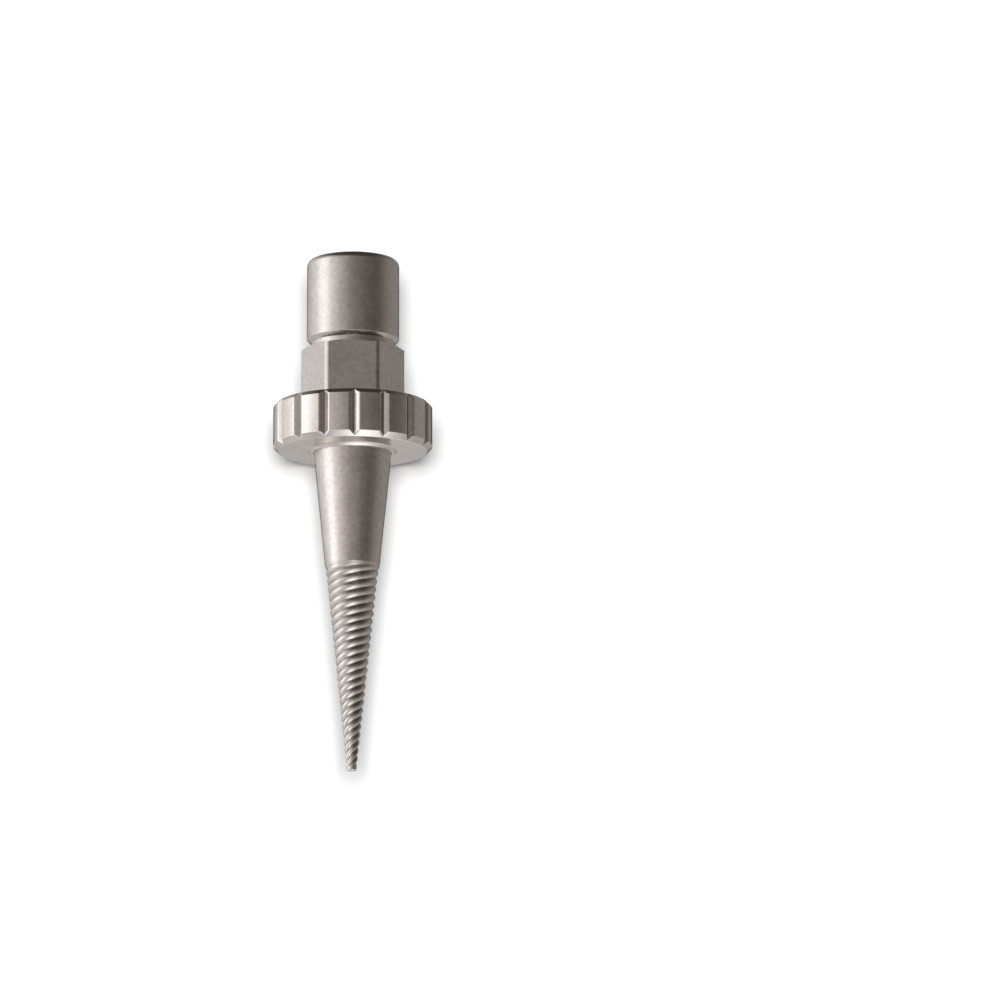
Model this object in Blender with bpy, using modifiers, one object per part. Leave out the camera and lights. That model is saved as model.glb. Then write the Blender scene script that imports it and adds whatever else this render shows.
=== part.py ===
"""Tapered polishing spindle with an ejector nut, as separate solids.

The spindle lies along Y. The mouth of its motor-shaft socket is centred on the origin and faces +Y, and
the tip points along -Y. Every piece is modelled upright, mouth up, under one empty that lays it down.
Distances called "depth" or "from_mouth" are measured along the axis from the mouth towards the tip.
"""
import math

import bmesh
import bpy
from mathutils import Matrix, Vector

MM = 0.001

# Hub: a socket sleeve, a narrow neck and a hexagon in one piece.
SLEEVE_RADIUS = 7.0 * MM
SLEEVE_LENGTH = 12.45 * MM
SLEEVE_SHOULDER = 1.8 * MM
NECK_RADIUS = 6.4 * MM
NECK_START = 13.05 * MM
ACROSS_FLATS = 13.8 * MM
HEX_START = 13.9 * MM
HEX_END_FACE_RADIUS = 7.05 * MM
HEX_CORNER_RADIUS = 7.8 * MM
HEX_CHAMFER_LENGTH = 0.25 * MM
HUB_LENGTH = 22.25 * MM
HUB_END_CHAMFER = 0.25 * MM
HEXAGON_CUTTER_INNER = 5.5 * MM
SHOULDER_STEPS = 5
SOCKET_RADIUS = 4.0 * MM
SOCKET_DEPTH = 12.6 * MM
SOCKET_LEAD_IN = 0.4 * MM

# Grub screws: two clamp the motor shaft, one locks the shank. All three sit on the back.
SHAFT_SCREW_RADIUS = 2.0 * MM
SHAFT_SCREWS_FROM_MOUTH = {"shaft_screw_outer": 4.6 * MM, "shaft_screw_inner": 9.6 * MM}
LOCK_SCREW_RADIUS = 1.5 * MM
LOCK_SCREW_FROM_MOUTH = 18.1 * MM
SCREW_CLEARANCE = 0.12 * MM
SCREW_SINK = 0.15 * MM
SCREW_BEVEL_SHARE = 0.15
SCREW_SEGMENTS = 20
SHAFT_SCREW_KEY = 2.0 * MM
LOCK_SCREW_KEY = 1.5 * MM
DRILL_REACH = 2.5 * MM

# Shank: the spindle's threaded end, inside the hub.
SHANK_RADIUS = 4.0 * MM
SHANK_START = 13.0 * MM
SHANK_PITCH = 1.25 * MM
SHANK_THREAD_DEPTH = 0.55 * MM

# Ejector thread, on the spindle just past the hub, and the nut that runs on it.
EJECTOR_RADIUS = 6.5 * MM
EJECTOR_PITCH = 1.0 * MM
EJECTOR_THREAD_DEPTH = 0.55 * MM
EJECTOR_THREAD_END = 28.3 * MM
SHOULDER_GAP = 0.15 * MM
SHOULDER_CHAMFER = 0.25 * MM
THREAD_CLEARANCE = 0.12 * MM
NUT_RADIUS = 12.1 * MM
NUT_FROM_MOUTH = 22.45 * MM
NUT_END = 29.82 * MM
NUT_TOP_CHAMFER = 0.7 * MM
NUT_FRONT_CHAMFER = 0.82 * MM
NUT_TEETH = 16
NUT_FIRST_GROOVE = math.radians(2.0)
NUT_COUNTERSINK = 0.35 * MM
GROOVE_HALF_WIDTH = 0.8 * MM
GROOVE_DEPTH = 0.62 * MM

# Push ring, held in the front of the nut by a split wire ring.
PUSH_RING_INNER = 6.05 * MM
PUSH_RING_OUTER = 6.6 * MM
PUSH_RING_START = 28.55 * MM
PUSH_RING_END = 30.12 * MM
PUSH_RING_CHAMFER = 0.3 * MM
PUSH_RING_SEAT = 0.1 * MM
WIRE_FROM_MOUTH = 29.2 * MM
WIRE_RADIUS = 0.2 * MM
WIRE_CLEARANCE = 0.09 * MM
WIRE_GAP = math.radians(24.0)
WIRE_POINTS = 36

# Cone: plain at the foot, then a four-start thread down to the flat tip.
CONE_FOOT_RADIUS = 5.93 * MM
CONE_FOOT = 29.8 * MM
CONE_FOOT_RELIEF = 1.3 * MM
PLAIN_CONE_END_RADIUS = 4.14 * MM
PLAIN_CONE_END = 47.4 * MM
TIP_RADIUS = 0.71 * MM
TIP = 78.9 * MM
TIP_LAND = 0.25 * MM
TAPER_THREAD_START_RADIUS = 3.97 * MM
TAPER_THREAD_START = 47.85 * MM
TAPER_RIDGE_SPACING = 1.24 * MM
TAPER_STARTS = 4
TAPER_THREAD_DEPTH = 0.27 * MM
TAPER_GROOVE_LINE = TAPER_THREAD_START + 0.12 * MM

SEGMENTS = 36
FINE_SEGMENTS = 48
SHARP_ANGLE = math.radians(30)

STEEL = (0.46, 0.435, 0.42)
DARK_STEEL = (0.06, 0.06, 0.065)


def clear_scene():
    for obj in list(bpy.data.objects):
        bpy.data.objects.remove(obj, do_unlink=True)


def make_collection(name):
    collection = bpy.data.collections.new(name)
    bpy.context.scene.collection.children.link(collection)
    return collection


def make_material(name, colour, roughness, metallic):
    material = bpy.data.materials.new(name)
    material.use_nodes = True
    shader = material.node_tree.nodes["Principled BSDF"]
    shader.inputs["Base Color"].default_value = (*colour, 1.0)
    shader.inputs["Roughness"].default_value = roughness
    shader.inputs["Metallic"].default_value = metallic
    material.diffuse_color = (*colour, 1.0)
    return material


clear_scene()
PARTS = make_collection("tapered_polishing_spindle")
CUTTERS = make_collection("cutters")
CUTTERS.hide_render = True

AXIS = bpy.data.objects.new("spindle_axis", None)
AXIS.rotation_euler = (-math.pi / 2, 0.0, 0.0)
PARTS.objects.link(AXIS)


def add_object(name, mesh, collection, parent=AXIS):
    obj = bpy.data.objects.new(name, mesh)
    obj.parent = parent
    collection.objects.link(obj)
    return obj


def finish_piece(obj, material):
    obj.data.materials.append(material)
    obj.data.shade_smooth()
    obj.data.set_sharp_from_angle(angle=SHARP_ANGLE)
    return obj


def as_cutter(obj):
    obj.hide_render = True
    obj.display_type = "WIRE"
    return obj


def cut(obj, cutter, operation="DIFFERENCE"):
    boolean = obj.modifiers.new(cutter.name, "BOOLEAN")
    boolean.operation = operation
    boolean.object = cutter
    boolean.solver = "EXACT"


def profile_mesh(name, outline, closed):
    """A wire in the XZ plane, for a Screw modifier. The outline is (radius, depth) pairs."""
    mesh = bpy.data.meshes.new(name)
    points = [(radius, 0.0, -depth) for radius, depth in outline]
    edges = [(i, i + 1) for i in range(len(points) - 1)]
    if closed:
        edges.append((len(points) - 1, 0))
    mesh.from_pydata(points, edges, [])
    return mesh


def turned(name, outline, collection, closed=True, segments=FINE_SEGMENTS):
    obj = add_object(name, profile_mesh(name, outline, closed), collection)
    screw = obj.modifiers.new("turn", "SCREW")
    screw.axis = "Z"
    screw.angle = 2 * math.pi
    screw.steps = segments
    screw.render_steps = segments
    screw.use_merge_vertices = True
    screw.merge_threshold = 0.00001
    screw.use_normal_calculate = False
    return obj


def arc(centre_radius, centre_depth, radius, start, end, steps):
    """Points of an arc in the (radius, depth) plane. Angles are in degrees, 0 outwards, 90 to the mouth."""
    points = []
    for i in range(steps + 1):
        angle = math.radians(start + (end - start) * i / steps)
        points.append(
            (
                centre_radius + radius * math.cos(angle),
                centre_depth - radius * math.sin(angle),
            )
        )
    return points


class AxialSkin:
    """A surface round the Z axis, made ring by ring from the mouth's side towards the tip."""

    def __init__(self, segments=SEGMENTS):
        self.bm = bmesh.new()
        self.segments = segments
        self.points = {}
        self.first = None
        self.last = None

    def point(self, i, radius, z):
        key = (i, round(radius / MM, 4), round(z / MM, 4))
        if key not in self.points:
            turn = 2 * math.pi * i / self.segments
            place = (radius * math.cos(turn), radius * math.sin(turn), z)
            self.points[key] = self.bm.verts.new(place)
        return self.points[key]

    def face(self, corners):
        unique = list(dict.fromkeys(corners))
        if len(unique) > 2:
            self.bm.faces.new(unique)

    def join(self, row):
        """Adds a row of points and the faces between it and the row before."""
        if self.last is None:
            self.first = row
        else:
            for i in range(self.segments):
                n = (i + 1) % self.segments
                self.face([self.last[i], row[i], row[n], self.last[n]])
        self.last = row

    def rings(self, *outline):
        """Level rings at (radius, depth) pairs."""
        for radius, depth in outline:
            self.join([self.point(i, radius, -depth) for i in range(self.segments)])

    def start_again(self):
        """Lets a second surface, such as a bore, start and end on rings that exist already."""
        self.last = None

    def thread(self, base_at, rise, start, end, spacing, starts, fade, line_at):
        """A right-hand thread between two depths, standing out from base_at(depth) by rise.

        Rows follow the thread's root and crest in turn. A crest crosses the +X side at depth line_at.
        With a negative rise the crests point inwards.
        """
        lead = spacing * starts
        half = spacing / 2
        rows_per_lead = 2 * starts
        shift = (start - line_at + half) % spacing
        count = math.ceil((end - start + shift + lead) / half) + 2
        grid = []
        for k in range(count):
            row = []
            for i in range(self.segments):
                depth = start - shift + k * half - lead * i / self.segments
                depth = min(max(depth, start), end)
                strength = min(1.0, (depth - start) / fade, (end - depth) / fade)
                radius = base_at(depth) + rise * strength * (k % 2)
                row.append(self.point(i, radius, -depth))
            grid.append(row)
        self.rings((base_at(start), start))
        for upper, lower in zip(grid, grid[1:]):
            for i in range(self.segments - 1):
                self.face([upper[i], lower[i], lower[i + 1], upper[i + 1]])
        for k in range(count - 1):
            upper = grid[max(k - rows_per_lead, 0)][0]
            lower = grid[max(k + 1 - rows_per_lead, 0)][0]
            self.face([grid[k][-1], grid[k + 1][-1], lower, upper])
        self.last = [self.point(i, base_at(end), -end) for i in range(self.segments)]

    def close_ends(self):
        self.bm.faces.new(self.first)
        self.bm.faces.new(self.last)

    def mesh(self, name):
        bmesh.ops.recalc_face_normals(self.bm, faces=self.bm.faces)
        mesh = bpy.data.meshes.new(name)
        self.bm.to_mesh(mesh)
        self.bm.free()
        return mesh


def threaded_cone_radius(depth):
    """The crests of the threaded cone, by distance from the mouth."""
    share = (depth - TAPER_THREAD_START) / (TIP - TAPER_THREAD_START)
    return TAPER_THREAD_START_RADIUS + (TIP_RADIUS - TAPER_THREAD_START_RADIUS) * share


def hexagon(name, across_flats, length, depth, collection):
    """A hexagonal prism round the axis, with two of its flats facing front and back."""
    bm = bmesh.new()
    bmesh.ops.create_cone(
        bm,
        cap_ends=True,
        segments=6,
        radius1=across_flats / math.sqrt(3),
        radius2=across_flats / math.sqrt(3),
        depth=length,
        matrix=Matrix.Translation((0, 0, -depth)) @ Matrix.Rotation(math.radians(30), 4, "Z"),
    )
    mesh = bpy.data.meshes.new(name)
    bm.to_mesh(mesh)
    bm.free()
    return add_object(name, mesh, collection)


def back_drill(name, radius, depth):
    """A cutter for a radial hole in the back, reaching into the bore."""
    bm = bmesh.new()
    length = SLEEVE_RADIUS
    turn = Matrix.Rotation(math.radians(90), 4, "X")
    bmesh.ops.create_cone(
        bm,
        cap_ends=True,
        segments=SCREW_SEGMENTS,
        radius1=radius,
        radius2=radius,
        depth=length,
        matrix=Matrix.Translation((0, DRILL_REACH + length / 2, -depth)) @ turn,
    )
    mesh = bpy.data.meshes.new(name)
    bm.to_mesh(mesh)
    bm.free()
    return as_cutter(add_object(name, mesh, CUTTERS))


def hexagon_cutter():
    """What is milled off round the hexagon: a thick sleeve with a hexagonal hole."""
    start = (NECK_START + HEX_START) / 2
    end = HUB_LENGTH + 1.0 * MM
    middle = (start + end) / 2
    bore = as_cutter(hexagon("hexagon_bore", ACROSS_FLATS, 2 * (end - start), middle, CUTTERS))
    outline = [
        (2 * SLEEVE_RADIUS, start),
        (2 * SLEEVE_RADIUS, end),
        (HEXAGON_CUTTER_INNER, end),
        (HEXAGON_CUTTER_INNER, start),
    ]
    sleeve = as_cutter(turned("hexagon_cutter", outline, CUTTERS))
    cut(sleeve, bore)
    return sleeve


def make_socket_hub():
    hex_end = HUB_LENGTH - HUB_END_CHAMFER
    shoulder = arc(
        SLEEVE_RADIUS - SLEEVE_SHOULDER, SLEEVE_SHOULDER, SLEEVE_SHOULDER, 90, 0, SHOULDER_STEPS
    )
    bore = SHANK_RADIUS + THREAD_CLEARANCE
    skin = AxialSkin()
    skin.rings((SOCKET_RADIUS + SOCKET_LEAD_IN, 0.0))
    skin.rings(*shoulder)
    skin.rings(
        (SLEEVE_RADIUS, SLEEVE_LENGTH),
        (NECK_RADIUS, NECK_START),
        (NECK_RADIUS, HEX_START),
        (HEX_END_FACE_RADIUS, HEX_START),
        (HEX_CORNER_RADIUS, HEX_START + HEX_CHAMFER_LENGTH),
        (HEX_CORNER_RADIUS, hex_end),
        (HEX_CORNER_RADIUS - HUB_END_CHAMFER, HUB_LENGTH),
        (bore + SOCKET_LEAD_IN, HUB_LENGTH),
    )
    skin.start_again()
    skin.rings(
        (SOCKET_RADIUS + SOCKET_LEAD_IN, 0.0),
        (SOCKET_RADIUS, SOCKET_LEAD_IN),
        (SOCKET_RADIUS, SOCKET_DEPTH),
        (bore, SOCKET_DEPTH + THREAD_CLEARANCE),
    )
    skin.thread(
        lambda depth: bore,
        -SHANK_THREAD_DEPTH,
        SHANK_START + SHANK_PITCH / 4,
        HUB_LENGTH - 2 * HUB_END_CHAMFER,
        SHANK_PITCH,
        1,
        SHANK_PITCH / 2,
        SHANK_START + SHANK_PITCH / 2,
    )
    skin.rings((bore, HUB_LENGTH - SOCKET_LEAD_IN), (bore + SOCKET_LEAD_IN, HUB_LENGTH))
    hub = add_object("socket_hub", skin.mesh("socket_hub"), PARTS)
    cut(hub, hexagon_cutter())
    for name, depth in SHAFT_SCREWS_FROM_MOUTH.items():
        cut(hub, back_drill(name + "_hole", SHAFT_SCREW_RADIUS, depth))
    cut(hub, back_drill("shank_lock_hole", LOCK_SCREW_RADIUS, LOCK_SCREW_FROM_MOUTH))
    return finish_piece(hub, make_material("hub_steel", STEEL, 0.3, 1.0))


def make_taper_spindle():
    shank_root = SHANK_RADIUS - SHANK_THREAD_DEPTH
    ejector_root = EJECTOR_RADIUS - EJECTOR_THREAD_DEPTH
    shoulder = HUB_LENGTH + SHOULDER_GAP
    thread_start = shoulder + SHOULDER_CHAMFER
    skin = AxialSkin()
    skin.rings((shank_root - SHOULDER_CHAMFER, SHANK_START), (shank_root, SHANK_START + SHOULDER_CHAMFER))
    skin.thread(
        lambda depth: shank_root,
        SHANK_THREAD_DEPTH,
        SHANK_START + SHOULDER_CHAMFER + THREAD_CLEARANCE,
        HUB_LENGTH - SHANK_PITCH / 2,
        SHANK_PITCH,
        1,
        SHANK_PITCH / 2,
        SHANK_START,
    )
    skin.rings(
        (shank_root, shoulder),
        (ejector_root - SHOULDER_CHAMFER, shoulder),
        (ejector_root, thread_start),
    )
    skin.thread(
        lambda depth: ejector_root,
        EJECTOR_THREAD_DEPTH,
        thread_start + SHOULDER_CHAMFER / 2,
        EJECTOR_THREAD_END,
        EJECTOR_PITCH,
        1,
        EJECTOR_PITCH / 2,
        NUT_FROM_MOUTH,
    )
    skin.rings(
        (ejector_root, CONE_FOOT - CONE_FOOT_RELIEF),
        (CONE_FOOT_RADIUS, CONE_FOOT),
        (PLAIN_CONE_END_RADIUS, PLAIN_CONE_END),
    )
    skin.thread(
        threaded_cone_radius,
        -TAPER_THREAD_DEPTH,
        TAPER_THREAD_START,
        TIP - TIP_LAND,
        TAPER_RIDGE_SPACING,
        TAPER_STARTS,
        TAPER_RIDGE_SPACING / 2,
        TAPER_GROOVE_LINE,
    )
    skin.rings((TIP_RADIUS, TIP))
    skin.close_ends()
    spindle = add_object("taper_spindle", skin.mesh("taper_spindle"), PARTS)
    return finish_piece(spindle, make_material("spindle_steel", STEEL, 0.28, 1.0))


def groove_cutter():
    """The V grooves across the nut's rim, as separate prisms that run past both of its faces."""
    bm = bmesh.new()
    outer = NUT_RADIUS + GROOVE_DEPTH
    bottom = NUT_RADIUS - GROOVE_DEPTH
    half = 2 * GROOVE_HALF_WIDTH
    middle = (NUT_FROM_MOUTH + NUT_END) / 2
    length = 2 * (NUT_END - NUT_FROM_MOUTH)
    for k in range(NUT_TEETH):
        corners = [(bottom, 0.0), (outer, half), (outer, -half)]
        turn = Matrix.Rotation(NUT_FIRST_GROOVE - math.pi / 2 + 2 * math.pi * k / NUT_TEETH, 4, "Z")
        points = [turn @ Vector((x, y, length / 2 - middle)) for x, y in corners]
        face = bm.faces.new([bm.verts.new(p) for p in points])
        swept = bmesh.ops.extrude_face_region(bm, geom=[face])
        moved = [v for v in swept["geom"] if isinstance(v, bmesh.types.BMVert)]
        bmesh.ops.translate(bm, verts=moved, vec=(0, 0, -length))
    bmesh.ops.recalc_face_normals(bm, faces=bm.faces)
    mesh = bpy.data.meshes.new("rim_grooves")
    bm.to_mesh(mesh)
    bm.free()
    return as_cutter(add_object("rim_grooves", mesh, CUTTERS))


def make_ejector_nut():
    major = EJECTOR_RADIUS + THREAD_CLEARANCE
    seat = PUSH_RING_OUTER + PUSH_RING_SEAT
    pocket = WIRE_RADIUS + WIRE_CLEARANCE
    wire_ring = (PUSH_RING_OUTER + seat) / 2
    mouth = (major + NUT_COUNTERSINK, NUT_FROM_MOUTH)
    front = (seat, NUT_END)
    skin = AxialSkin(FINE_SEGMENTS)
    skin.rings(
        mouth,
        (NUT_RADIUS - NUT_TOP_CHAMFER, NUT_FROM_MOUTH),
        (NUT_RADIUS, NUT_FROM_MOUTH + NUT_TOP_CHAMFER),
        (NUT_RADIUS, NUT_END - NUT_FRONT_CHAMFER),
        (NUT_RADIUS - NUT_FRONT_CHAMFER, NUT_END),
        front,
    )
    skin.start_again()
    skin.rings(mouth, (major, NUT_FROM_MOUTH + NUT_COUNTERSINK))
    skin.thread(
        lambda depth: major,
        -EJECTOR_THREAD_DEPTH,
        NUT_FROM_MOUTH + NUT_COUNTERSINK + THREAD_CLEARANCE,
        EJECTOR_THREAD_END,
        EJECTOR_PITCH,
        1,
        EJECTOR_PITCH / 2,
        NUT_FROM_MOUTH + EJECTOR_PITCH / 2,
    )
    skin.rings(
        (seat, EJECTOR_THREAD_END + SHOULDER_CHAMFER / 2),
        (seat, WIRE_FROM_MOUTH - pocket),
        (wire_ring + pocket, WIRE_FROM_MOUTH - pocket),
        (wire_ring + pocket, WIRE_FROM_MOUTH + pocket),
        (seat, WIRE_FROM_MOUTH + pocket),
        front,
    )
    nut = add_object("ejector_nut", skin.mesh("ejector_nut"), PARTS)
    cut(nut, groove_cutter())
    return finish_piece(nut, make_material("nut_steel", STEEL, 0.3, 1.0))


def make_push_ring():
    pocket = WIRE_RADIUS + WIRE_CLEARANCE
    wire_ring = PUSH_RING_OUTER + PUSH_RING_SEAT / 2
    outline = [
        (PUSH_RING_INNER, PUSH_RING_START),
        (PUSH_RING_OUTER, PUSH_RING_START),
        (PUSH_RING_OUTER, WIRE_FROM_MOUTH - pocket),
        (wire_ring - pocket, WIRE_FROM_MOUTH - pocket),
        (wire_ring - pocket, WIRE_FROM_MOUTH + pocket),
        (PUSH_RING_OUTER, WIRE_FROM_MOUTH + pocket),
        (PUSH_RING_OUTER, PUSH_RING_END - PUSH_RING_CHAMFER),
        (PUSH_RING_OUTER - PUSH_RING_CHAMFER, PUSH_RING_END),
        (PUSH_RING_INNER, PUSH_RING_END),
    ]
    ring = turned("push_ring", outline, PARTS)
    return finish_piece(ring, make_material("push_ring_steel", STEEL, 0.2, 1.0))


def make_swivel_wire():
    """An open wire ring, half in the nut's groove and half in the push ring's."""
    radius = PUSH_RING_OUTER + PUSH_RING_SEAT / 2
    curve = bpy.data.curves.new("swivel_wire", "CURVE")
    curve.dimensions = "3D"
    curve.bevel_depth = WIRE_RADIUS
    curve.bevel_resolution = 1
    curve.use_fill_caps = True
    spline = curve.splines.new("POLY")
    spline.points.add(WIRE_POINTS - 1)
    for i, point in enumerate(spline.points):
        turn = WIRE_GAP / 2 + (2 * math.pi - WIRE_GAP) * i / (WIRE_POINTS - 1)
        place = (radius * math.sin(turn), radius * math.cos(turn), -WIRE_FROM_MOUTH)
        point.co = (*place, 1.0)
    wire = add_object("swivel_wire", curve, PARTS)
    curve.materials.append(make_material("spring_steel", DARK_STEEL, 0.35, 1.0))
    return wire


def make_grub_screw(name, hole_radius, depth, key_across_flats):
    """A headless screw with a hexagon socket, sunk in a radial hole in the back."""
    radius = hole_radius - SCREW_CLEARANCE
    length = SLEEVE_RADIUS - SCREW_SINK - SOCKET_RADIUS - SCREW_CLEARANCE
    bevel = radius * SCREW_BEVEL_SHARE
    outline = [
        (0.0, 0.0),
        (radius - bevel, 0.0),
        (radius, bevel),
        (radius, length - 2 * bevel),
        (radius - 2 * bevel, length),
        (0.0, length),
    ]
    screw = turned(name, outline, PARTS, closed=False, segments=SCREW_SEGMENTS)
    key = hexagon(name + "_key", key_across_flats, length, 0.0, CUTTERS)
    as_cutter(key)
    cut(screw, key)
    for obj in (screw, key):
        obj.rotation_euler = (-math.pi / 2, 0.0, 0.0)
        obj.location = (0.0, SLEEVE_RADIUS - SCREW_SINK, -depth)
    return finish_piece(screw, make_material(name + "_black", DARK_STEEL, 0.4, 1.0))


def main():
    make_socket_hub()
    make_taper_spindle()
    make_ejector_nut()
    make_push_ring()
    make_swivel_wire()
    for name, depth in SHAFT_SCREWS_FROM_MOUTH.items():
        make_grub_screw(name, SHAFT_SCREW_RADIUS, depth, SHAFT_SCREW_KEY)
    make_grub_screw("shank_lock_screw", LOCK_SCREW_RADIUS, LOCK_SCREW_FROM_MOUTH, LOCK_SCREW_KEY)


main()
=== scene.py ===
"""Looks for the tapered polishing spindle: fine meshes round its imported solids, steels, lights and camera.

The spindle lies along Y, its socket's mouth on the origin and its tip at -Y. Outlines are (radius, depth)
pairs in millimetres, where depth is the distance from the mouth towards the tip, and an angle round the
axis is counted from +Z (the front, with a flat of the hexagon) towards +X.
"""

import math

import bmesh
import bpy
import numpy as np
from mathutils import Matrix, Vector


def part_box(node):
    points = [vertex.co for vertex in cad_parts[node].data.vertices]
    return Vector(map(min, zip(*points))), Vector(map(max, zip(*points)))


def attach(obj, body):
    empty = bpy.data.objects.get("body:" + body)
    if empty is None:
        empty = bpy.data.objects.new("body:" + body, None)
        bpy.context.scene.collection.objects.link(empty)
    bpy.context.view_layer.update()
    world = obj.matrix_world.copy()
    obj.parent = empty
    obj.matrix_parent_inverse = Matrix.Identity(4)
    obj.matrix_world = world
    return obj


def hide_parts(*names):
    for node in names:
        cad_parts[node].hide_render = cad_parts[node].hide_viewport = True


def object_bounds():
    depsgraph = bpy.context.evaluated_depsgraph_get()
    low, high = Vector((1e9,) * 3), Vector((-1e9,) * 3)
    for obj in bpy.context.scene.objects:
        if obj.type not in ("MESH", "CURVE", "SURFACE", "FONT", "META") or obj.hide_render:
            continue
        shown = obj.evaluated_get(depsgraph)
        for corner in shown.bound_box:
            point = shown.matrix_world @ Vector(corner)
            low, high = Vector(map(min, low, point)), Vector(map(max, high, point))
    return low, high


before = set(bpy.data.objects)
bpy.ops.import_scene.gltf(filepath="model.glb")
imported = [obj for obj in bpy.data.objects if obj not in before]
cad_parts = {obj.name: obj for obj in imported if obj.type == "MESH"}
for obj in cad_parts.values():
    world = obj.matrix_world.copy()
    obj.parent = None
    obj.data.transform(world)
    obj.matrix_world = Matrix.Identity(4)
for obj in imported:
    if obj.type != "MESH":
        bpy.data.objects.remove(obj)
cad_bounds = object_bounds()

MM = 0.001
TURN = 2 * math.pi

# How finely the meshes are made, in mm: the line that supports a corner, the longest cell on a straight
# stretch, the shortest edge that a bend is measured over, the blend where two shapes meet, and the step
# from one section's last row to the next one's first.
SUPPORT = 0.03
LONGEST_CELL = 0.6
NUT_CELL = 0.35
PUSH_RING_CELL = 0.2
SHORTEST_EDGE = 0.02
BLEND = 0.05
SEAM = 0.01

# Points round the axis, and the distance between a thread's rows.
HUB_COLUMNS = 540
SPINDLE_COLUMNS = 216
NUT_COLUMNS_PER_TOOTH = 42
PUSH_RING_COLUMNS = 240
SCREW_COLUMNS = 96
DRILL_COLUMNS = 64
BORE_ROW = 0.06
SHANK_ROW = 0.08
EJECTOR_ROW = 0.05
TAPER_ROW = 0.07
SCREW_ROW = 0.04


def depth_range(node):
    """Where a CAD node starts and ends along the axis, in mm from the mouth."""
    low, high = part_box(node)
    return -high.y / MM, -low.y / MM


def widest(node):
    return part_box(node)[1].x / MM


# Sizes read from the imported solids.
HUB_LENGTH = depth_range("socket_hub")[1]
SHANK_START, TIP = depth_range("taper_spindle")
EJECTOR_RADIUS = widest("taper_spindle")
NUT_START, NUT_END = depth_range("ejector_nut")
NUT_RADIUS = widest("ejector_nut")
PUSH_START, PUSH_END = depth_range("push_ring")
PUSH_OUTER = widest("push_ring")
FLOOR_HEIGHT = cad_bounds[0].z

# Hub.
SLEEVE_RADIUS = 7.0
SLEEVE_LENGTH = 12.45
SLEEVE_SHOULDER = 1.8
NECK_RADIUS = 6.4
NECK_START = 13.05
ACROSS_FLATS = 13.8
HEX_START = 13.9
HEX_END_FACE_RADIUS = 7.05
HEX_CORNER_RADIUS = 7.8
HEX_CHAMFER = 0.25
HUB_END_CHAMFER = 0.25
SOCKET_RADIUS = 4.0
SOCKET_DEPTH = 12.6
LEAD_IN = 0.4
SHAFT_SCREWS = {"shaft_screw_outer": 4.6, "shaft_screw_inner": 9.6}
SHAFT_SCREW_RADIUS = 2.0
SHAFT_SCREW_KEY = 2.0
LOCK_SCREW = {"shank_lock_screw": 18.1}
LOCK_SCREW_RADIUS = 1.5
LOCK_SCREW_KEY = 1.5
SCREW_CLEARANCE = 0.12
SCREW_SINK = 0.15
DRILL_START = 2.5
DRILL_REACH = 2
DRILL_COUNTERSINK = 0.3
COUNTERSINK_DEPTH = 0.22

# Threads.
CLEARANCE = 0.12
SHANK_RADIUS = 4.0
SHANK_PITCH = 1.25
SHANK_DEPTH = 0.55
EJECTOR_PITCH = 1.0
EJECTOR_DEPTH = 0.55
EJECTOR_END = 28.3
SHOULDER_GAP = 0.15
SHOULDER_CHAMFER = 0.25
SHANK_RELIEF = 0.5
TAPER_SPACING = 1.24
TAPER_STARTS = 4
TAPER_DEPTH = 0.27
TAPER_CREST = 47.45

# Nut, push ring and wire.
NUT_TOP_CHAMFER = 0.7
NUT_FRONT_CHAMFER = 0.82
NUT_COUNTERSINK = 0.35
NUT_TEETH = 16
NUT_FIRST_GROOVE = math.radians(2.0)
GROOVE_HALF_WIDTH = 0.8
GROOVE_DEPTH = 0.62
GROOVE_BOTTOM = 0.06
PUSH_INNER = 5.98
PUSH_CHAMFER = 0.3
SEAT_RADIUS = PUSH_OUTER + 0.05
SEAT_GAP = 0.03
WIRE_DEPTH = 29.2
WIRE_RADIUS = 0.2
WIRE_CLEARANCE = 0.09
WIRE_GAP = math.radians(24.0)

# Cone.
CONE_FOOT_RADIUS = 5.93
CONE_FOOT = 29.8
CONE_FOOT_RELIEF = 1.3
PLAIN_END_RADIUS = 4.14
PLAIN_END = 47.4
TAPER_START_RADIUS = 3.97
TAPER_START = 47.85
TIP_RADIUS = 0.71
TIP_LAND = 0.25


# ---------------------------------------------------------------- meshes


def rounded(corners, steps=4):
    """An outline with an arc at each corner, from (radius, depth, fillet) corners. Its ends stay sharp."""
    points = [tuple(corners[0][:2])]
    for before, here, after in zip(corners, corners[1:], corners[2:]):
        at = Vector(here[:2])
        back = Vector(before[:2]) - at
        on = Vector(after[:2]) - at
        half = back.angle(on) / 2
        reach = min(here[2] / math.tan(half), 0.45 * back.length, 0.45 * on.length)
        if reach < SUPPORT / 10:
            points.append(tuple(at))
            continue
        back.normalize()
        on.normalize()
        radius = reach * math.tan(half)
        centre = at + (back + on).normalized() * (radius / math.sin(half))
        first = at + back * reach - centre
        last = at + on * reach - centre
        sweep = first.angle_signed(last)
        for i in range(steps + 1):
            arm = first.copy()
            arm.rotate(Matrix.Rotation(-sweep * i / steps, 2))
            points.append(tuple(centre + arm))
    points.append(tuple(corners[-1][:2]))
    return points


def filled(points, longest=LONGEST_CELL):
    """The outline with more points on its straight stretches, and one close to each of their ends."""
    result = [points[0]]
    for start, end in zip(points, points[1:]):
        start, end = Vector(start), Vector(end)
        length = (end - start).length
        if length > 4 * SUPPORT:
            inner = length - 2 * SUPPORT
            pieces = math.ceil(inner / longest)
            for i in range(pieces + 1):
                result.append(tuple(start.lerp(end, (SUPPORT + inner * i / pieces) / length)))
        if length > SUPPORT / 100:
            result.append(tuple(end))
    return result


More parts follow.
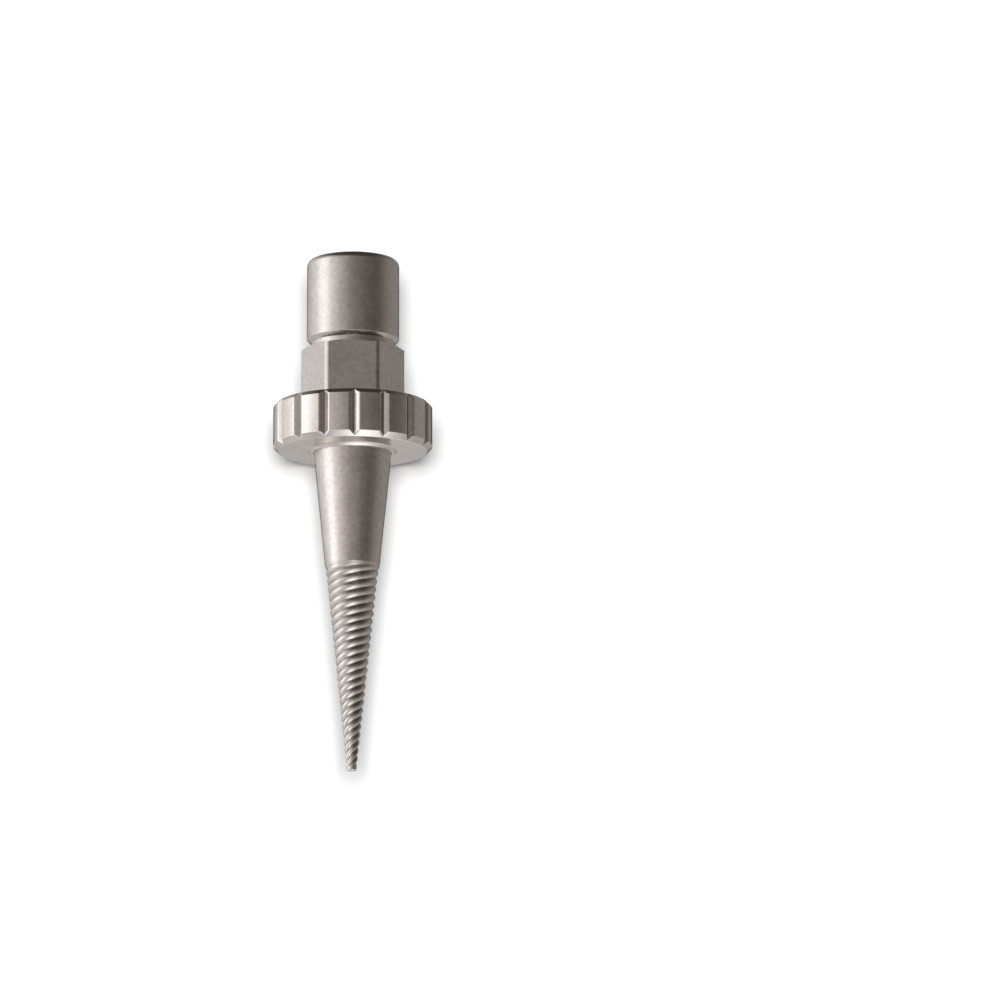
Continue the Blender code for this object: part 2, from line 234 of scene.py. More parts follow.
def stretch(start, end, step, radius_at):
    """Evenly spaced outline points from one depth to another."""
    count = math.ceil(abs(end - start) / step)
    depths = [start + (end - start) * i / count for i in range(count + 1)]
    return [(radius_at(depth), depth) for depth in depths]


def rows_of(outline, turns, reshape=None):
    """Rows of points round the axis, one for each point of the outline."""
    columns = np.array(outline, float).T
    radius, depth = (np.repeat(column[:, None], len(turns), axis=1) for column in columns)
    if reshape:
        radius = reshape(radius, depth, turns)
    return np.stack([radius * np.sin(turns), -depth, radius * np.cos(turns)], axis=-1) * MM


def even_turns(count):
    return np.arange(count) * TURN / count


def new_object(name, mesh):
    obj = bpy.data.objects.new(name, mesh)
    bpy.context.scene.collection.objects.link(obj)
    return obj


def closed_skin(name, sections, loop):
    """A closed surface through rows of points. A loop joins its last row to its first, as on a ring."""
    rows = np.concatenate(sections)
    count, around = rows.shape[:2]
    index = np.arange(count * around).reshape(count, around)
    upper, lower = index[:-1], index[1:]
    if loop:
        upper, lower = index, np.roll(index, -1, axis=0)
    corners = [upper, lower, np.roll(lower, -1, axis=1), np.roll(upper, -1, axis=1)]
    faces = np.stack(corners, axis=-1).reshape(-1, 4).tolist()
    points = rows.reshape(-1, 3).tolist()
    if not loop:
        for row, is_last in ((index[0], False), (index[-1], True)):
            centre = len(points)
            points.append(rows.reshape(-1, 3)[row].mean(0).tolist())
            for a, b in zip(row.tolist(), np.roll(row, -1).tolist()):
                faces.append([a, centre, b] if is_last else [b, centre, a])
    mesh = bpy.data.meshes.new(name)
    mesh.from_pydata(points, [], faces)
    bm = bmesh.new()
    bm.from_mesh(mesh)
    bmesh.ops.remove_doubles(bm, verts=bm.verts, dist=0.0005 * MM)
    bmesh.ops.dissolve_degenerate(bm, dist=0.0002 * MM, edges=bm.edges)
    bm.to_mesh(mesh)
    bm.free()
    mesh.shade_smooth()
    return new_object(name, mesh)


def smooth_min(a, b, width):
    """The smaller of two radii, rounded where they are close to each other."""
    share = np.clip(0.5 + (b - a) / (2 * width), 0, 1)
    return b + (a - b) * share - width * share * (1 - share)


def rounded_ridge(phase):
    """A ridge with a round back and a narrower valley: 0 in the valley, 1 on the crest."""
    valley = 0.04
    floor = math.sqrt(valley)
    return (np.sqrt(np.cos(np.pi * phase) ** 2 + valley) - floor) / (math.sqrt(1 + valley) - floor)


def screw_ridge(phase):
    """A straight-sided thread with a narrow flat crest and root: 0 at the root, 1 on the crest."""
    flat = 0.12
    from_root = 1 - 2 * np.abs(phase - np.round(phase))
    return np.clip((from_root - flat) / (1 - 2 * flat), 0, 1)


def helix(spacing, starts, crest, rise, ridge, start, end, fade):
    """Reshapes rows into a right-hand thread whose crest crosses the front at depth crest.

    The thread fades in from depth start and out to depth end, over the length fade.
    """

    def reshape(radius, depth, turns):
        phase = (depth - crest) / spacing + starts * turns / TURN
        strength = np.clip(np.minimum(depth - start, end - depth) / fade, 0, 1)
        return radius + rise * strength * ridge(phase)

    return reshape


# ---------------------------------------------------------------- pieces


def hexagon_radius(across_flats, turns):
    """How far a hexagon's side is from its centre, with a flat at the front."""
    from_flat = (turns + TURN / 12) % (TURN / 6) - TURN / 12
    return across_flats / 2 / np.cos(from_flat)


def drill(radius, depth, rim):
    """A cutter for a radial hole in the back with a small countersink at its rim."""
    wide = radius + DRILL_COUNTERSINK
    narrow_end = rim - COUNTERSINK_DEPTH
    outline = [
        (radius, DRILL_START),
        (radius, narrow_end),
        (wide, narrow_end + DRILL_COUNTERSINK),
        (wide, rim + DRILL_REACH),
    ]
    cutter = closed_skin("drill", [rows_of(outline, even_turns(DRILL_COLUMNS))], False)
    cutter.data.transform(Matrix.Translation((0, -depth * MM, 0)) @ Matrix.Rotation(math.pi / 2, 4, "X"))
    return cutter


def cut_away(obj, cutter):
    boolean = obj.modifiers.new("cut", "BOOLEAN")
    boolean.operation = "DIFFERENCE"
    boolean.solver = "EXACT"
    boolean.object = cutter
    graph = bpy.context.evaluated_depsgraph_get()
    mesh = bpy.data.meshes.new_from_object(obj.evaluated_get(graph))
    obj.modifiers.clear()
    obj.data = mesh
    bpy.data.objects.remove(cutter)


def make_hub():
    turns = even_turns(HUB_COLUMNS)
    bore = SHANK_RADIUS + CLEARANCE
    hex_end = HUB_LENGTH - HUB_END_CHAMFER
    end_face_start = HEX_END_FACE_RADIUS - 0.35
    bore_start = HUB_LENGTH - LEAD_IN

    def hexagonal(radius, depth, turns):
        flats = hexagon_radius(ACROSS_FLATS, turns)
        return smooth_min(radius, flats, BLEND)

    sleeve = rounded(
        [
            (SOCKET_RADIUS + LEAD_IN, 0.0, 0.0),
            (SLEEVE_RADIUS, 0.0, SLEEVE_SHOULDER),
            (SLEEVE_RADIUS, SLEEVE_LENGTH, 0.1),
            (NECK_RADIUS, NECK_START, 0.08),
            (NECK_RADIUS, HEX_START, 0.05),
            (end_face_start, HEX_START, 0.0),
        ],
        steps=8,
    )
    bar = rounded(
        [
            (end_face_start + SEAM, HEX_START, 0.0),
            (HEX_END_FACE_RADIUS, HEX_START, 0.05),
            (HEX_CORNER_RADIUS, HEX_START + HEX_CHAMFER, 0.08),
            (HEX_CORNER_RADIUS, hex_end, 0.06),
            (HEX_CORNER_RADIUS - HUB_END_CHAMFER, HUB_LENGTH, 0.05),
            (bore + LEAD_IN, HUB_LENGTH, 0.05),
            (bore, bore_start, 0.0),
        ]
    )
    inner_thread = stretch(bore_start - SEAM, SOCKET_DEPTH + CLEARANCE, BORE_ROW, lambda depth: bore)
    socket = rounded(
        [
            (SOCKET_RADIUS, SOCKET_DEPTH, 0.0),
            (SOCKET_RADIUS, LEAD_IN, 0.06),
            (SOCKET_RADIUS + LEAD_IN, SEAM, 0.0),
        ]
    )
    cutting = helix(
        SHANK_PITCH,
        1,
        SHANK_START + 0.75 * SHANK_PITCH,
        -SHANK_DEPTH,
        screw_ridge,
        SHANK_START + SHANK_PITCH / 4,
        HUB_LENGTH - 2 * HUB_END_CHAMFER,
        SHANK_PITCH / 2,
    )
    hub = closed_skin(
        "hub",
        [
            rows_of(filled(sleeve), turns),
            rows_of(filled(bar), turns, hexagonal),
            rows_of(inner_thread, turns, cutting),
            rows_of(filled(socket), turns),
        ],
        True,
    )
    for depth in SHAFT_SCREWS.values():
        cut_away(hub, drill(SHAFT_SCREW_RADIUS, depth, SLEEVE_RADIUS))
    for depth in LOCK_SCREW.values():
        cut_away(hub, drill(LOCK_SCREW_RADIUS, depth, SLEEVE_RADIUS))
    return hub


def taper_radius(depth):
    """The crests of the threaded cone."""
    share = (depth - TAPER_START) / (TIP - TAPER_START)
    return TAPER_START_RADIUS + (TIP_RADIUS - TAPER_START_RADIUS) * share


def make_spindle():
    turns = even_turns(SPINDLE_COLUMNS)
    shank_root = SHANK_RADIUS - SHANK_DEPTH
    ejector_root = EJECTOR_RADIUS - EJECTOR_DEPTH
    shoulder = HUB_LENGTH + SHOULDER_GAP
    thread_start = shoulder + SHOULDER_CHAMFER
    shank_chamfer = 0.25
    taper_end = TIP - TIP_LAND
    shank_thread = helix(
        SHANK_PITCH,
        1,
        SHANK_START + SHANK_PITCH / 4,
        SHANK_DEPTH,
        screw_ridge,
        SHANK_START + 0.3,
        HUB_LENGTH - SHANK_PITCH / 2,
        SHANK_PITCH / 2,
    )
    ejector_thread = helix(
        EJECTOR_PITCH,
        1,
        NUT_START + EJECTOR_PITCH / 4,
        EJECTOR_DEPTH,
        screw_ridge,
        thread_start,
        EJECTOR_END,
        EJECTOR_PITCH / 2,
    )
    taper_thread = helix(
        TAPER_SPACING,
        TAPER_STARTS,
        TAPER_CREST,
        -TAPER_DEPTH,
        lambda phase: 1 - rounded_ridge(phase),
        TAPER_START,
        taper_end,
        TAPER_SPACING / 2,
    )
    shank_end = rounded(
        [
            (shank_root - 1.2, SHANK_START, 0.0),
            (shank_root - shank_chamfer, SHANK_START, 0.06),
            (shank_root, SHANK_START + shank_chamfer, 0.0),
        ]
    )
    shank = stretch(
        SHANK_START + shank_chamfer + SEAM,
        HUB_LENGTH - SHANK_RELIEF - SEAM,
        SHANK_ROW,
        lambda depth: shank_root,
    )
    neck = rounded(
        [
            (shank_root, HUB_LENGTH - SHANK_RELIEF, 0.0),
            (shank_root, shoulder, 0.05),
            (ejector_root - SHOULDER_CHAMFER, shoulder, 0.05),
            (ejector_root, thread_start, 0.0),
        ]
    )
    ejector_part = stretch(thread_start + SEAM, EJECTOR_END, EJECTOR_ROW, lambda depth: ejector_root)
    cone = rounded(
        [
            (ejector_root, EJECTOR_END + SEAM, 0.0),
            (ejector_root, CONE_FOOT - CONE_FOOT_RELIEF, 0.3),
            (CONE_FOOT_RADIUS, CONE_FOOT, 0.5),
            (PLAIN_END_RADIUS, PLAIN_END, 0.1),
            (TAPER_START_RADIUS, TAPER_START, 0.0),
        ]
    )
    threaded_cone = stretch(TAPER_START + 2 * SEAM, taper_end, TAPER_ROW, taper_radius)
    tip = rounded(
        [
            (TIP_RADIUS + 0.02, taper_end + SEAM, 0.0),
            (TIP_RADIUS, TIP, 0.08),
            (0.2, TIP, 0.0),
        ]
    )
    sections = [
        rows_of(filled(shank_end), turns),
        rows_of(shank, turns, shank_thread),
        rows_of(filled(neck), turns),
        rows_of(ejector_part, turns, ejector_thread),
        rows_of(filled(cone), turns),
        rows_of(threaded_cone, turns, taper_thread),
        rows_of(filled(tip), turns),
    ]
    return closed_skin("tapered_spindle", sections, False)


def groove_turns():
    """Angles that crowd together at each groove of the nut's rim."""
    pitch = TURN / NUT_TEETH
    crowding = 0.7
    place = (np.arange(NUT_COLUMNS_PER_TOOTH) + 0.5) / NUT_COLUMNS_PER_TOOTH * 2 - 1
    offsets = ((1 - crowding) * place + crowding * place**3) * pitch / 2
    centres = NUT_FIRST_GROOVE + np.arange(NUT_TEETH) * pitch
    return (centres[:, None] + offsets[None, :]).ravel()


def grooved(radius, depth, turns):
    """Cuts the V grooves of the nut's rim."""
    pitch = TURN / NUT_TEETH
    from_groove = (turns - NUT_FIRST_GROOVE + pitch / 2) % pitch - pitch / 2
    across = np.sqrt((NUT_RADIUS * np.sin(from_groove)) ** 2 + GROOVE_BOTTOM**2)
    flank = NUT_RADIUS - GROOVE_DEPTH + GROOVE_DEPTH * across / GROOVE_HALF_WIDTH
    return smooth_min(radius, flank, BLEND)


def make_nut():
    turns = groove_turns()
    major = EJECTOR_RADIUS + CLEARANCE
    seat = SEAT_RADIUS + SEAT_GAP / 2
    pocket = WIRE_RADIUS + WIRE_CLEARANCE
    thread_start = NUT_START + NUT_COUNTERSINK
    outside = rounded(
        [
            (major + NUT_COUNTERSINK, NUT_START, 0.0),
            (NUT_RADIUS - NUT_TOP_CHAMFER, NUT_START, 0.08),
            (NUT_RADIUS, NUT_START + NUT_TOP_CHAMFER, 0.12),
            (NUT_RADIUS, NUT_END - NUT_FRONT_CHAMFER, 0.12),
            (NUT_RADIUS - NUT_FRONT_CHAMFER, NUT_END, 0.08),
            (seat, NUT_END, 0.03),
            (seat, WIRE_DEPTH + pocket, 0.02),
            (SEAT_RADIUS + pocket, WIRE_DEPTH + pocket, 0.05),
            (SEAT_RADIUS + pocket, WIRE_DEPTH - pocket, 0.05),
            (seat, WIRE_DEPTH - pocket, 0.02),
            (seat, EJECTOR_END + 0.125, 0.02),
            (major, EJECTOR_END + 2 * SEAM, 0.0),
        ]
    )
    inner_thread = stretch(EJECTOR_END, thread_start, EJECTOR_ROW, lambda depth: major)
    cutting = helix(
        EJECTOR_PITCH,
        1,
        NUT_START + 0.75 * EJECTOR_PITCH,
        -EJECTOR_DEPTH,
        screw_ridge,
        thread_start,
        EJECTOR_END,
        EJECTOR_PITCH / 2,
    )
    sections = [
        rows_of(filled(outside, NUT_CELL), turns, grooved),
        rows_of(inner_thread, turns, cutting),
    ]
    return closed_skin("ejector_ring_nut", sections, True)


def make_push_ring():
    turns = even_turns(PUSH_RING_COLUMNS)
    pocket = WIRE_RADIUS + WIRE_CLEARANCE
    outer = SEAT_RADIUS - SEAT_GAP / 2
    bevel = 0.05
    lip = 0.04
    outline = rounded(
        [
            (PUSH_INNER, PUSH_START + bevel, 0.0),
            (PUSH_INNER + bevel, PUSH_START, 0.02),
            (outer - bevel, PUSH_START, 0.02),
            (outer, PUSH_START + bevel, 0.02),
            (outer, WIRE_DEPTH - pocket, 0.02),
            (SEAT_RADIUS - pocket, WIRE_DEPTH - pocket, 0.04),
            (SEAT_RADIUS - pocket, WIRE_DEPTH + pocket, 0.04),
            (outer, WIRE_DEPTH + pocket, 0.02),
            (outer, PUSH_END - PUSH_CHAMFER, 0.04),
            (outer - PUSH_CHAMFER, PUSH_END, 0.04),
            (PUSH_INNER + lip, PUSH_END, 0.02),
            (PUSH_INNER, PUSH_END - lip, 0.0),
        ]
    )
    return closed_skin("collar_ring", [rows_of(filled(outline, PUSH_RING_CELL), turns)], True)


def make_wire():
    """An open ring of round wire with rounded ends and its gap at the back."""
    around = even_turns(20)
    cap = WIRE_RADIUS / SEAT_RADIUS
    first, last = WIRE_GAP / 2, TURN - WIRE_GAP / 2
    bends = np.linspace(0, math.pi / 2, 6)[1:]
    start = [(first - cap * math.sin(a) + cap, math.cos(a)) for a in bends[::-1]]
    middle = [(a, 1.0) for a in np.linspace(first, last, 160)[2:-2]]
    finish = [(last + cap * math.sin(a) - cap, math.cos(a)) for a in bends]
    rows = []
    for angle, share in start + middle + finish:
        turn = angle + math.pi
        thickness = WIRE_RADIUS * max(share, 0.05)
        radius = SEAT_RADIUS + thickness * np.cos(around)
        depth = WIRE_DEPTH + thickness * np.sin(around)
        rows.append(np.stack([radius * math.sin(turn), -depth, radius * math.cos(turn)], axis=-1) * MM)
    wire = closed_skin("retaining_wire", [np.array(rows)], False)
    bm = bmesh.new()
    bm.from_mesh(wire.data)
    bmesh.ops.recalc_face_normals(bm, faces=bm.faces)
    bm.to_mesh(wire.data)
    bm.free()
    return wire


def make_screw(name, hole_radius, depth, key):
    """A headless screw with a hexagon socket, its outer end just below the back surface."""
    turns = even_turns(SCREW_COLUMNS)
    radius = hole_radius - SCREW_CLEARANCE
    length = SLEEVE_RADIUS - SCREW_SINK - SOCKET_RADIUS - SCREW_CLEARANCE
    socket = 0.55 * length
    pitch = 0.35 * hole_radius
    half_key = 0.5 * key

    def hexagonal(radius, depth, turns):
        return radius / half_key * hexagon_radius(key, turns)

    floor = [(0.1 * key, socket + 0.1), (0.3 * key, socket + 0.05)]
    walls = [(half_key, depth) for depth in (socket, socket - 0.05, 0.14, 0.09)] + [(0.54 * key, 0.01)]
    face = [(0.62 * key, 0.0), (radius - 0.24, 0.0), (radius - 0.2, 0.01), (radius - 0.04, 0.17)]
    side = stretch(0.2, length - 0.35, SCREW_ROW, lambda depth: radius)
    point = [
        (radius - 0.03, length - 0.33),
        (radius - 0.35, length - 0.01),
        (radius - 0.4, length),
        (0.3, length),
    ]
    cutting = helix(
        pitch,
        1,
        0.0,
        -0.2,
        lambda phase: 1 - screw_ridge(phase),
        0.2,
        length - 0.3,
        pitch / 2,
    )
    screw = closed_skin(
        name + "_socket_screw",
        [
            rows_of(floor, turns),
            rows_of(walls, turns, hexagonal),
            rows_of(face, turns),
            rows_of(side, turns, cutting),
            rows_of(point, turns),
        ],
        False,
    )
    outer_end = Matrix.Translation((0, -depth * MM, -(SLEEVE_RADIUS - SCREW_SINK) * MM))
    screw.data.transform(outer_end @ Matrix.Rotation(-math.pi / 2, 4, "X"))
    return screw


# ---------------------------------------------------------------- materials


class Nodes:
    """A material's or world's node tree, with short calls to add and link nodes."""

    def __init__(self, owner):
        owner.use_nodes = True
        self.tree = owner.node_tree

    def add(self, kind, inputs=None, **settings):
        node = self.tree.nodes.new(kind)
        for name, value in settings.items():
            setattr(node, name, value)
        for name, value in (inputs or {}).items():
            self.put(value, node.inputs[name])
        return node

    def put(self, value, socket):
        if isinstance(value, bpy.types.NodeSocket):
            self.tree.links.new(value, socket)
        else:
            socket.default_value = value

    def math(self, operation, a, b=0.0):
        return self.add("ShaderNodeMath", {0: a, 1: b}, operation=operation).outputs[0]

    def span(self, value, low, high, to_low=0.0, to_high=1.0):
        inputs = {"Value": value, "From Min": low, "From Max": high, "To Min": to_low, "To Max": to_high}
        return self.add("ShaderNodeMapRange", inputs).outputs["Result"]

    def mix(self, share, a, b):
        node = self.add("ShaderNodeMix", data_type="RGBA")
        for socket, value in ((0, share), (6, a), (7, b)):
            self.put(value, node.inputs[socket])
        return node.outputs[2]

    def noise(self, vector, scale, detail=4.0, roughness=0.6):
        inputs = {"Vector": vector, "Scale": scale, "Detail": detail, "Roughness": roughness}
        return self.add("ShaderNodeTexNoise", inputs).outputs["Fac"]


def colour(red, green, blue):
    return (red, green, blue, 1.0)


# Colours of the steels, each from light to dark in its mottling.
LIGHT_STEEL = colour(0.66, 0.63, 0.605)
GREY_STEEL = colour(0.55, 0.519, 0.494)
BRIGHT_STEEL = colour(0.78, 0.76, 0.74)
CONE_LIGHT = colour(0.715, 0.68, 0.655)
CONE_GREY = colour(0.585, 0.554, 0.528)
NUT_LIGHT = colour(0.74, 0.705, 0.68)
NUT_GREY = colour(0.62, 0.59, 0.565)
SPRING_LIGHT = colour(0.3, 0.29, 0.28)
SPRING_DARK = colour(0.2, 0.19, 0.185)
# A lighter colour for sharp edges and crests: partly steel polished by rubbing, partly a painted highlight
# along them.
EDGE_POLISH_AND_HIGHLIGHT = colour(0.9, 0.89, 0.88)
# A dark colour for the hollows and thread roots: painted shade, where the recesses fall into shadow.
HOLLOW_PAINTED_SHADE = colour(0.12, 0.105, 0.095)
OXIDE_DARK = colour(0.028, 0.028, 0.031)
OXIDE_LIGHT = colour(0.06, 0.058, 0.057)
OXIDE_WORN = colour(0.34, 0.32, 0.3)

# Noise scales, in lumps per metre, and the heights of the bumps, in metres.
GRAIN_SCALE = 1500.0
CLOUD_SCALE = 330.0
TOOL_MARK_SCALE = 6000.0
OXIDE_SCALE = 4000.0
GRAIN_HEIGHT = 0.000012
TOOL_MARK_HEIGHT = 0.0000015
OXIDE_HEIGHT = 0.000006


def new_metal(name):
    """A metallic material, with its nodes and its shader."""
    material = bpy.data.materials.new(name)
    nodes = Nodes(material)
    shader = nodes.tree.nodes["Principled BSDF"]
    shader.inputs["Metallic"].default_value = 1.0
    return material, nodes, shader


def make_steel(name, light, dark, smooth, rough, turned):
    """Satin steel: soft mottling, fine tool marks round the axis, edges lighter as polish and painted
    highlight, and painted shade in the hollows.
    """
    material, nodes, shader = new_metal(name)
    place = nodes.add("ShaderNodeTexCoord").outputs["Object"]
    grain = nodes.noise(place, GRAIN_SCALE, 2.0, 0.5)
    cloud = nodes.noise(place, CLOUD_SCALE, 3.0, 0.55)
    along = nodes.add("ShaderNodeSeparateXYZ", {0: place}).outputs["Y"]
    marks = nodes.add(
        "ShaderNodeTexNoise",
        {"W": nodes.math("MULTIPLY", along, TOOL_MARK_SCALE), "Scale": 1.0, "Detail": 2.0},
        noise_dimensions="1D",
    ).outputs["Fac"]
    bend = nodes.add("ShaderNodeAttribute", attribute_name="bend").outputs["Fac"]
    worn = nodes.span(bend, 0.8, 4.0)
    hollow_shade = nodes.span(bend, -0.4, -2.6)
    mottle = nodes.math("ADD", nodes.math("MULTIPLY", grain, 0.6), nodes.math("MULTIPLY", cloud, 0.4))
    base = nodes.mix(nodes.span(mottle, 0.35, 0.65), dark, light)
    # Sharp edges and crests turn lighter: partly polish, partly a painted highlight.
    base = nodes.mix(nodes.math("MULTIPLY", worn, 0.6), base, EDGE_POLISH_AND_HIGHLIGHT)
    # Hollows turn dark: painted shade in the recesses.
    base = nodes.mix(nodes.math("MULTIPLY", hollow_shade, 0.7), base, HOLLOW_PAINTED_SHADE)
    nodes.put(base, shader.inputs["Base Color"])
    roughness = nodes.span(mottle, 0.3, 0.7, smooth, rough)
    roughness = nodes.math("SUBTRACT", roughness, nodes.math("MULTIPLY", worn, 0.05))
    nodes.put(roughness, shader.inputs["Roughness"])
    grain_bump = nodes.add("ShaderNodeBump", {"Height": mottle, "Strength": 1.0, "Distance": GRAIN_HEIGHT})
    mark_bump = nodes.add(
        "ShaderNodeBump",
        {"Height": marks, "Strength": turned, "Distance": TOOL_MARK_HEIGHT, "Normal": grain_bump.outputs[0]},
    )
    nodes.put(mark_bump.outputs[0], shader.inputs["Normal"])
    return material


def make_black_oxide(name):
    """Black oxide on steel, worn to bare metal along the edges."""
    material, nodes, shader = new_metal(name)
    place = nodes.add("ShaderNodeTexCoord").outputs["Object"]
    grain = nodes.noise(place, OXIDE_SCALE, 4.0, 0.6)
    bend = nodes.add("ShaderNodeAttribute", attribute_name="bend").outputs["Fac"]
    worn = nodes.math("MULTIPLY", nodes.span(bend, 2.0, 8.0), nodes.span(grain, 0.35, 0.6))
    base = nodes.mix(nodes.span(grain, 0.3, 0.7), OXIDE_DARK, OXIDE_LIGHT)
    nodes.put(nodes.mix(worn, base, OXIDE_WORN), shader.inputs["Base Color"])
    nodes.put(nodes.span(grain, 0.3, 0.7, 0.36, 0.52), shader.inputs["Roughness"])
    bump = nodes.add("ShaderNodeBump", {"Height": grain, "Strength": 1.0, "Distance": OXIDE_HEIGHT})
    nodes.put(bump.outputs[0], shader.inputs["Normal"])
    return material


# ---------------------------------------------------------------- stage, light and camera


def make_floor():
    """The white floor, just under the spindle. The steel doesn't reflect it: the studio stands for it."""
    bm = bmesh.new()
    bmesh.ops.create_circle(bm, cap_ends=True, segments=96, radius=3.0)
    mesh = bpy.data.meshes.new("floor")
    bm.to_mesh(mesh)
    bm.free()
    floor = new_object("floor", mesh)
    floor.location.z = FLOOR_HEIGHT - 0.05 * MM
    floor.visible_glossy = False
    material = bpy.data.materials.new("floor_white")
    nodes = Nodes(material)
    shader = nodes.tree.nodes["Principled BSDF"]
    shader.inputs["Base Color"].default_value = colour(0.9, 0.9, 0.9)
    shader.inputs["Roughness"].default_value = 0.9
    shader.inputs["Specular IOR Level"].default_value = 0.0
    mesh.materials.append(material)


# How bright the studio is round the spindle: (degrees from straight up towards +X, brightness).
STUDIO = [
    (-180, 0.22),
    (-160, 0.33),
    (-130, 0.51),
    (-118, 0.6),
    (-100, 0.75),
    (-79, 1.14),
    (-60, 0.74),
    (-40, 0.49),
    (-16, 0.285),
    (0, 0.182),
    (20, 0.128),
    (50, 0.084),
    (72, 0.098),
    (92, 0.165),
    (120, 0.205),
    (150, 0.2),
    (180, 0.22),
]
STUDIO_STRENGTH = 1.6

# The light past the tip, at its middle, beside it and how far its middle is towards +X. The dark past the
# socket. What the floor gets besides the light from above, and what the camera sees.
FRONT_LIGHT = 1.0
FRONT_SIDES = 0.38
FRONT_MIDDLE = 0.14
BACK_LIGHT = 0.035
FLOOR_FILL = 0.08
BACKDROP = 1.05
WHITE = colour(1.0, 1.0, 1.0)


def tinted(brightness):
    """Warm where it is dark, close to white where it is bright."""
    white = math.sqrt(min(brightness, 1.0))
    return colour(brightness, brightness * (0.85 + 0.15 * white), brightness * (0.73 + 0.28 * white))


def make_studio():
    """A soft surround: bright on the left and past the tip, dark on the right and past the socket.

    The floor gets an even fill from it, and the camera sees it white.
    """
    world = bpy.data.worlds.new("studio")
    bpy.context.scene.world = world
    nodes = Nodes(world)
    nodes.tree.nodes.clear()
    direction = nodes.add("ShaderNodeTexCoord").outputs["Generated"]
    axes = nodes.add("ShaderNodeSeparateXYZ", {0: direction}).outputs
    angle = nodes.math("ARCTAN2", axes["X"], axes["Z"])
    ramp = nodes.add("ShaderNodeValToRGB", {"Fac": nodes.span(angle, -math.pi, math.pi)})
    ramp.color_ramp.interpolation = "CARDINAL"
    stops = ramp.color_ramp.elements
    while len(stops) < len(STUDIO):
        stops.new(0.5)
    for stop, (degrees, brightness) in zip(stops, STUDIO):
        stop.position = degrees / 360 + 0.5
        stop.color = tinted(brightness)
    from_middle = nodes.math("ABSOLUTE", nodes.math("SUBTRACT", axes["X"], FRONT_MIDDLE))
    front_light = nodes.mix(nodes.span(from_middle, 0.05, 0.5), tinted(FRONT_LIGHT), tinted(FRONT_SIDES))
    towards_front = nodes.span(axes["Y"], 0.25, -0.85)
    front = nodes.math("MULTIPLY", towards_front, towards_front)
    above = nodes.span(axes["Z"], -0.9, -0.6)
    back = nodes.math("MULTIPLY", nodes.span(axes["Y"], 0.42, 0.88), above)
    light = nodes.mix(front, ramp.outputs["Color"], front_light)
    light = nodes.mix(back, light, tinted(BACK_LIGHT))
    straight_down = nodes.span(axes["Z"], -0.85, -0.97)
    shadow_below = nodes.math("MULTIPLY", straight_down, nodes.span(axes["Y"], -0.08, 0.12))
    light = nodes.mix(shadow_below, light, tinted(BACK_LIGHT / 2))
    reflected = nodes.add("ShaderNodeBackground", {"Color": light, "Strength": STUDIO_STRENGTH}).outputs[0]
    fill = nodes.add("ShaderNodeBackground", {"Color": WHITE, "Strength": FLOOR_FILL}).outputs[0]
    seen = nodes.add("ShaderNodeBackground", {"Color": WHITE, "Strength": BACKDROP}).outputs[0]
    path = nodes.add("ShaderNodeLightPath").outputs
    unseen = nodes.add("ShaderNodeMixShader", {0: path["Is Diffuse Ray"], 1: reflected, 2: fill}).outputs[0]
    mixed = nodes.add("ShaderNodeMixShader", {0: path["Is Camera Ray"], 1: unseen, 2: seen}).outputs[0]
    nodes.add("ShaderNodeOutputWorld", {"Surface": mixed})


TOP_LIGHT = 3.5
TOP_LIGHT_SIZE = math.radians(26)
TOP_LIGHT_TILT = math.radians(2)


def make_floor_light():
    """A light from above that only the floor shows: white, with soft shadows close to the spindle."""
    light = bpy.data.lights.new("soft_top", "SUN")
    light.energy = TOP_LIGHT
    light.angle = TOP_LIGHT_SIZE
    lamp = bpy.data.objects.new("soft_top", light)
    lamp.rotation_euler = (TOP_LIGHT_TILT, 0.0, 0.0)
    bpy.context.scene.collection.objects.link(lamp)
    lamp.visible_glossy = False


# The camera's view is FRAME_WIDTH across at its target; both are in mm.
FRAME_WIDTH = 151.4
CAMERA_DISTANCE = 1600.0
CAMERA_ELEVATION = math.radians(78)
CAMERA_TARGET = Vector((22.33, -37.27, 0.0))


def make_camera():
    """A long lens, far away: almost no perspective."""
    data = bpy.data.cameras.new("camera")
    data.lens = data.sensor_width * CAMERA_DISTANCE / FRAME_WIDTH
    camera = bpy.data.objects.new("camera", data)
    bpy.context.scene.collection.objects.link(camera)
    back = Vector((0, -math.cos(CAMERA_ELEVATION), math.sin(CAMERA_ELEVATION)))
    camera.location = (CAMERA_TARGET + back * CAMERA_DISTANCE) * MM
    camera.rotation_euler = (-back).to_track_quat("-Z", "Y").to_euler()
    bpy.context.scene.camera = camera


# ---------------------------------------------------------------- assembly


def values_of(collection, attribute, width, kind=float):
    """One row of numbers for each item of a mesh's collection."""
    values = np.empty(width * len(collection), kind)
    collection.foreach_get(attribute, values)
    return values.reshape(-1, width)


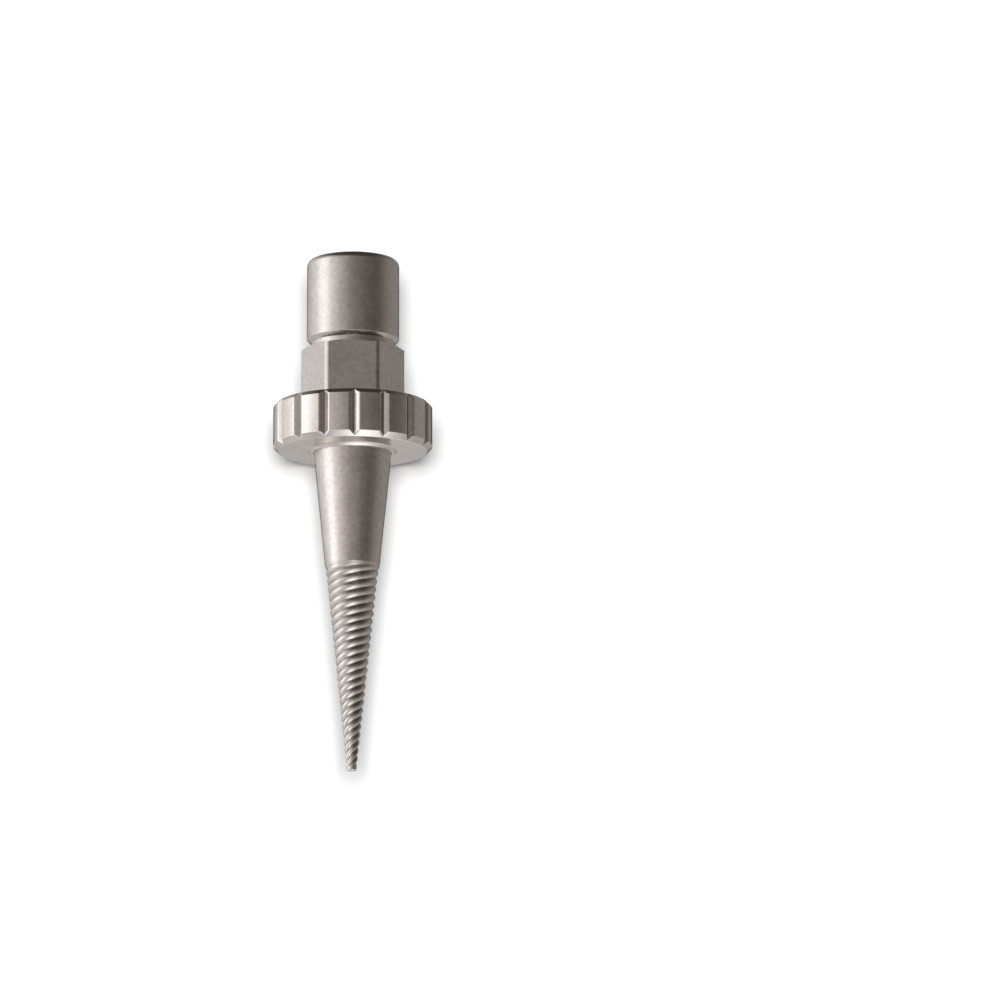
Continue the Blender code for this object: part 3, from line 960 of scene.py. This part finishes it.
def mark_bends(piece):
    """Stores how sharply the surface bends at each point, in 1/mm: above 0 on edges, below 0 in hollows.

    It is the mean over the point's edges, averaged once with the points at their other ends.
    """
    mesh = piece.data
    points = values_of(mesh.vertices, "co", 3) / MM
    normals = values_of(mesh.vertex_normals, "vector", 3)
    first, second = values_of(mesh.edges, "vertices", 2, int).T
    step = points[second] - points[first]
    squared = np.maximum((step**2).sum(1), SHORTEST_EDGE**2)
    at_first = -2 * (step * normals[first]).sum(1) / squared
    at_second = 2 * (step * normals[second]).sum(1) / squared
    ends = np.concatenate([first, second])
    edge_count = np.maximum(np.bincount(ends, minlength=len(points)), 1)
    bend = np.bincount(ends, np.concatenate([at_first, at_second]), len(points)) / edge_count
    nearby = np.bincount(ends, np.concatenate([bend[second], bend[first]]), len(points)) / edge_count
    mesh.attributes.new("bend", "FLOAT", "POINT").data.foreach_set("value", (bend + nearby) / 2)


def place(piece, body, node, slot, material):
    """Puts a piece on its body in place of its CAD node."""
    mark_bends(piece)
    piece.data.materials.clear()
    piece.data.materials.append(material)
    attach(piece, body)
    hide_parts(node)


bpy.context.scene.view_settings.view_transform = "Standard"
make_camera()
make_studio()
make_floor_light()
make_floor()

hub_steel = make_steel("hub_satin_steel", LIGHT_STEEL, GREY_STEEL, 0.16, 0.26, 0.5)
cone_steel = make_steel("cone_satin_steel", CONE_LIGHT, CONE_GREY, 0.15, 0.24, 0.8)
nut_steel = make_steel("nut_satin_steel", NUT_LIGHT, NUT_GREY, 0.12, 0.22, 0.5)
collar_steel = make_steel("collar_steel", BRIGHT_STEEL, LIGHT_STEEL, 0.14, 0.22, 1.0)
wire_steel = make_steel("spring_wire_steel", SPRING_LIGHT, SPRING_DARK, 0.25, 0.35, 0.3)
black_oxide = make_black_oxide("black_oxide")

place(make_hub(), "spindle", "socket_hub", "hub_steel", hub_steel)
place(make_spindle(), "spindle", "taper_spindle", "spindle_steel", cone_steel)
place(make_nut(), "ejector", "ejector_nut", "nut_steel", nut_steel)
place(make_push_ring(), "pusher", "push_ring", "push_ring_steel", collar_steel)
place(make_wire(), "ejector", "swivel_wire", "spring_steel", wire_steel)
for node, screw_depth in SHAFT_SCREWS.items():
    screw = make_screw(node, SHAFT_SCREW_RADIUS, screw_depth, SHAFT_SCREW_KEY)
    place(screw, "spindle", node, "black_steel", black_oxide)
for node, screw_depth in LOCK_SCREW.items():
    screw = make_screw(node, LOCK_SCREW_RADIUS, screw_depth, LOCK_SCREW_KEY)
    place(screw, "spindle", node, "black_steel", black_oxide)
